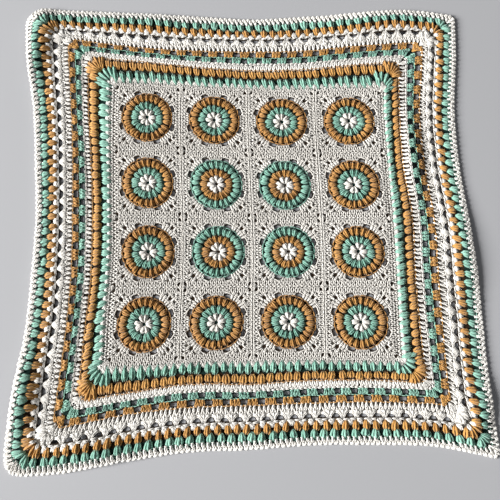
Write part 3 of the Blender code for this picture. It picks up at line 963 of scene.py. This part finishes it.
# Rounds of blocks: how far out their edges lie, how far along a side its first block's
# middle is as a share of a pitch, how many blocks the side has, the directions of the posts
# at a corner in degrees, and how wide to each side the gaps are
BlockRound = namedtuple("BlockRound", "yarn inner outer first_share count corner gap_half_width")
BLOCK_ROUNDS = {
    5: BlockRound("teal", 0.2985, 0.3092, 0.5, 22, (-50, -30, 30, 50), 0.0042),
    6: BlockRound("mustard", 0.3096, 0.3206, 1.0, 21, (-48, -24, 0, 24, 48), 0.0052),
}
BLOCKS_A_SIDE = 22
# The stitches worked at each of a block's three posts: how far out from its inner edge,
# or in from its outer one where that is negative, and how large
BlockStitch = namedtuple("BlockStitch", "stitch out wide long high")
BLOCK_STITCHES = [
    BlockStitch("link", -2.0 * MM, 0.9, 0.75, 1.0),
    BlockStitch("link", 1.6 * MM, 0.8, 0.6, 1.0),
    BlockStitch("vee", 2.0 * MM, 0.9, 1.1, 1.35),
]
BLOCK_POSTS = np.array([-5.4, 0.0, 5.4]) * MM
BLOCK_LOOSE = 1.3
# How much shorter the posts are than the round is wide
POST_GAP = 1.5 * MM
# Two arcs over each gap: how far along from its middle, and in from the outer edge
GAP_ARCS = np.array([-3.4, 3.4]) * MM
GAP_ARC_INSET = 0.6 * MM
# At a corner, how far in from the inner edge the posts' common point lies, and how far
# past the outer edge the links on them start
POST_INSET = 2 * MM
LINK_OUTSET = 1 * MM
# Painted highlight: how much lighter the blocks' yarn is than the puffs', for their brightly lit small
# loops
BLOCK_PAINTED_HIGHLIGHT = 0.8


def block_gaps(number):
    """Places of the open gaps along each side of a round of blocks."""
    this = BLOCK_ROUNDS[number]
    middle = (this.inner + this.outer) / 2
    places = (np.arange(this.count + 1) + this.first_share - 0.5) * 2 * middle / BLOCKS_A_SIDE - middle
    return places[np.abs(places) < middle - CORNER_ROOM]


def work_blocks(number):
    """A round of blocks of three posts, with open gaps between them."""
    this = BLOCK_ROUNDS[number]
    yarn, inner, outer = this.yarn, this.inner, this.outer
    piece = Crochet(f"{yarn}_round_{number:02d}", [yarn], 100 + number, BLOCK_PAINTED_HIGHLIGHT)
    middle = (inner + outer) / 2
    pitch = 2 * middle / BLOCKS_A_SIDE
    middles = (np.arange(this.count) + this.first_share) * pitch - middle
    places = (middles[:, None] + BLOCK_POSTS).ravel()
    long = (outer - inner - POST_GAP) / POST_LENGTH
    piece.work(yarn, "post", on_sides(places, inner, wide=1.05, long=long, high=1.1), BLOCK_LOOSE)
    for row in BLOCK_STITCHES:
        out = row.out + (outer if row.out < 0 else inner)
        spread = on_sides(places, out, wide=row.wide, long=row.long, high=row.high)
        piece.work(yarn, row.stitch, spread, BLOCK_LOOSE)
    gaps = (block_gaps(number)[:, None] + GAP_ARCS).ravel()
    piece.work(yarn, "arc", on_sides(gaps, outer - GAP_ARC_INSET, wide=0.75, long=0.8, high=0.8), 0.6)
    foot = inner - POST_INSET
    tops = outer - inner + LINK_OUTSET
    posts = Fan("post", foot, this.corner, start=POST_INSET, wide=1.1, long=long * 1.15)
    links = Fan("link", foot, this.corner, start=tops, long=0.9)
    piece.work_rows(yarn, [posts, links])
    return piece.finish(yarn, f"round_{number:02d}_blocks")


def work_round(number):
    """The border round of that number, counted from the panel."""
    if number in WHITE_ROUNDS:
        return work_white(number)
    if number in PUFF_ROUNDS:
        return work_puffs(number)
    return work_blocks(number)


# The thin ground sheet between the upper and the lower side of the stitches, in painted shade
SHEET_HEIGHT = 0.0019
SHEET_THICKNESS = 0.0006
SHEET_REACH = 0.3870
# How far apart the points of its net are, and how many lie along each line of the border
SHEET_STEP = 0.011
RING_STEPS = 40

# The gaps along a motif's rim, one in each eighth of a turn, wide in the middle and with
# thin ends: degrees round the motif, and centimetres from its centre
RIM_GAPS = 8
RIM_GAP = [
    (-11, 4.50), (-6, 4.47), (0, 4.47), (6, 4.47), (11, 4.50),
    (9, 4.92), (4.5, 5.18), (0, 5.25), (-4.5, 5.18), (-9, 4.92),
]
# A gap that widens or narrows outwards: near and far are its edges, and top_share is how
# wide the far one is against the near one
Gap = namedtuple("Gap", "half_width near far top_share")
LACE_GAP = Gap(0.0038, LACE_FOOT - 8.6 * MM, LACE_FOOT - 0.6 * MM, 1.8)
# The eyelets near a square's corners are not cut, but painted as shadows on the sheet
CORNER_EYELETS = [Gap(0.0024, 0.0565, 0.0622, 0.8), Gap(0.0023, 0.0748, 0.0800, 0.9)]
# How much of a wide gap is open. The rest of it is painted shade on the sheet, for the shaded yarn around
# the opening
OPEN_SHARE = 0.76
# How far in from a block round's edges its gaps begin and end
GAP_NEAR = 2.4 * MM
GAP_FAR = 2.8 * MM


def hole(x, y, turn, gap):
    """A gap as a loop of plan points, that far from a point and turned about it."""
    widths = np.array([-1.0, -(1 + gap.top_share) / 2, -gap.top_share])
    across = np.concatenate((widths, -widths[::-1])) * gap.half_width
    middle = (gap.near + gap.far) / 2
    out = np.array([gap.near, middle, gap.far, gap.far, middle, gap.near])
    px, py = turned(across, out, turn)
    return np.column_stack((px + x, py + y))


def crescent(x, y, turn):
    """A gap along the rim of the motif around a point, as a loop of plan points."""
    degrees, radii = np.array(RIM_GAP).T
    px, py = turned(np.zeros(len(RIM_GAP)), radii * 10 * MM, np.radians(degrees) + turn)
    return np.column_stack((px + x, py + y))


def wide_gaps():
    """The gaps at the motifs' rims and in the lace, up to the stitches around them."""
    gaps = []
    for row, column in SQUARES:
        for k in range(RIM_GAPS):
            gaps.append(crescent(*square_centre(row, column), (k + 0.5) * EIGHTH))
    for side in range(4):
        turn = side * QUARTER
        for place in evenly(LACE_HOLES, LACE_LENGTH)[:-1] + LACE_LENGTH / LACE_HOLES:
            gaps.append(hole(*turned(place, 0.0, turn), turn, LACE_GAP))
    return gaps


def sheet_holes():
    """Every open gap of the blanket: at the motifs' rims, the blocks and the lace."""
    holes = []
    for gap in wide_gaps():
        middle = gap.mean(axis=0)
        holes.append(middle + (gap - middle) * OPEN_SHARE)
    for side in range(4):
        turn = side * QUARTER
        for number, this in BLOCK_ROUNDS.items():
            gap = Gap(this.gap_half_width, this.inner + GAP_NEAR, this.outer - GAP_FAR, 1.0)
            for place in block_gaps(number):
                holes.append(hole(*turned(place, 0.0, turn), turn, gap))
    return holes


def sheet_shadows():
    """The sheet's painted shadows, in its darkest shade: in the wide gaps, and near the corners of each
    square.
    """
    shadows = wide_gaps()
    for row, column in SQUARES:
        centre = square_centre(row, column)
        for k in range(4):
            for eyelet in CORNER_EYELETS:
                shadows.append(hole(*centre, EIGHTH + k * QUARTER, eyelet))
    return shadows


# Which painted depth shade the sheet takes in the border, up to how far out
DepthZone = namedtuple("DepthZone", "out yarn")
# Under the white rounds 4 and 10 it takes mustard's and teal's, for deeper painted shade
DEPTH_ZONES = [
    DepthZone(0.2530, "white"),
    DepthZone(0.2700, "teal"),
    DepthZone(0.2870, "mustard"),
    DepthZone(0.2990, "mustard"),
    DepthZone(0.3095, "teal"),
    DepthZone(0.3215, "mustard"),
    DepthZone(0.3490, "white"),
    DepthZone(0.3660, "mustard"),
    DepthZone(0.3760, "teal"),
    DepthZone(SHEET_REACH, "teal"),
]
# How far out a motif's coloured rounds reach, and circles of points that follow them
INNER_ROUND_REACH = 0.0300
OUTER_ROUND_REACH = 0.0465
Circle = namedtuple("Circle", "radius count")
SHEET_CIRCLES = [Circle(0.0165, 16), Circle(INNER_ROUND_REACH, 24), Circle(0.0452, 32)]


def sheet_zone(x, y):
    """Which painted depth shade the sheet takes at a place, most often that of the yarn above it."""
    reach = max(abs(x), abs(y))
    if reach >= PANEL_REACH:
        return next(zone.yarn for zone in DEPTH_ZONES if reach < zone.out)
    row = min(SQUARES_A_SIDE - 1, int((PANEL_REACH - y) / SQUARE))
    column = min(SQUARES_A_SIDE - 1, int((x + PANEL_REACH) / SQUARE))
    cx, cy = square_centre(row + 1, column + 1)
    radius = math.hypot(x - cx, y - cy)
    outer = MOTIF_YARNS[row][column]
    if radius > OUTER_ROUND_REACH:
        return "white"
    return outer if radius > INNER_ROUND_REACH else INNER_YARNS[outer]


def in_loop(x, y, loop):
    """Whether a plan point lies inside a loop of points."""
    ahead = np.roll(loop, -1, axis=0)
    crosses = (loop[:, 1] > y) != (ahead[:, 1] > y)
    with np.errstate(divide="ignore", invalid="ignore"):
        at = loop[:, 0] + (y - loop[:, 1]) * (ahead[:, 0] - loop[:, 0]) / (ahead[:, 1] - loop[:, 1])
    return bool((crosses & (x < at)).sum() % 2)


def in_any_loop(x, y, loops, middles, reach):
    """Whether a plan point lies in one of the loops, each within that reach of its middle."""
    near = np.nonzero(np.hypot(*(middles - (x, y)).T) < reach)[0]
    return any(in_loop(x, y, loops[k]) for k in near)


def square_loop(reach, steps):
    """Plan points once round a square, that many along each side."""
    line = np.linspace(-reach, reach, steps)
    loop = [(g, -reach) for g in line[:-1]] + [(reach, g) for g in line[:-1]]
    return loop + [(g, reach) for g in line[:0:-1]] + [(-reach, g) for g in line[:0:-1]]


def sheet_points(loops):
    """The sheet's plan points, and the edges between those that lie on its loops."""
    points, edges = [], []
    steps = 2 * int(SHEET_REACH / SHEET_STEP) + 1
    for loop in [square_loop(SHEET_REACH, steps)] + loops:
        first = len(points)
        points.extend(tuple(p) for p in loop)
        edges.extend((first + k, first + (k + 1) % len(loop)) for k in range(len(loop)))
    for reach in [PANEL_REACH] + [zone.out for zone in DEPTH_ZONES[:-1]]:
        points.extend(square_loop(reach, RING_STEPS))
    for row, column in SQUARES:
        cx, cy = square_centre(row, column)
        for radius, count in SHEET_CIRCLES:
            for k in range(count):
                x, y = turned(0.0, radius, 2 * math.pi * k / count)
                points.append((cx + x, cy + y))
    inner = np.linspace(-SHEET_REACH, SHEET_REACH, steps)[1:-1]
    points.extend((x, y) for x in inner for y in inner)
    return points, edges


# The points of a hole, and of a shadow, lie within this distance of its middle
HOLE_REACH = 0.009
SHADOW_REACH = 0.010
# Points nearer to each other than this are one and the same
SAME_POINT = 1e-6


def work_sheet():
    """The ground sheet in painted shade, with every gap open, and all the stitches as pieces on it."""
    holes, shadows = sheet_holes(), sheet_shadows()
    hole_middles = np.array([loop.mean(axis=0) for loop in holes])
    shadow_middles = np.array([loop.mean(axis=0) for loop in shadows])
    points, edges = sheet_points(holes + shadows)
    found = delaunay_2d_cdt([Vector(p) for p in points], edges, [], 0, SAME_POINT)
    bm = bmesh.new()
    verts = [bm.verts.new((p.x, p.y, 0.0)) for p in found[0]]
    names = list(PAINTED_DEPTH_SHADES)
    for triangle in found[2]:
        corners = [found[0][k] for k in triangle]
        x = sum(p.x for p in corners) / 3
        y = sum(p.y for p in corners) / 3
        if in_any_loop(x, y, holes, hole_middles, HOLE_REACH):
            continue
        face = bm.faces.new([verts[k] for k in triangle])
        # Painted shadows take mustard's painted depth shade, the darkest of all
        shaded = in_any_loop(x, y, shadows, shadow_middles, SHADOW_REACH)
        face.material_index = names.index("mustard" if shaded else sheet_zone(x, y))
    bmesh.ops.delete(bm, geom=[v for v in bm.verts if not v.link_faces], context="VERTS")
    bmesh.ops.recalc_face_normals(bm, faces=bm.faces)
    if sum(face.normal.z for face in bm.faces) < 0:
        bmesh.ops.reverse_faces(bm, faces=bm.faces)
    bmesh.ops.solidify(bm, geom=bm.faces[:], thickness=SHEET_THICKNESS)
    co = np.array([v.co for v in bm.verts])
    co[:, 2] += SHEET_HEIGHT - co[:, 2].max()
    for vert, place in zip(bm.verts, lay(co)):
        vert.co = place
    mesh = bpy.data.meshes.new("ground_sheet")
    bm.to_mesh(mesh)
    bm.free()
    for name in names:
        mesh.materials.append(painted_depth_shade_material(name))
    sheet = placed("ground_sheet", mesh)
    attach(sheet, "root")
    return sheet


camera()
studio()
YARN_MATERIALS = {name: yarn_material(name) for name in YARNS}
for row, column in SQUARES:
    work_motif(row, column, 10 * row + column)
    work_square(row, column, 50 + 10 * row + column)
for number in range(1, 11):
    work_round(number)
work_sheet()
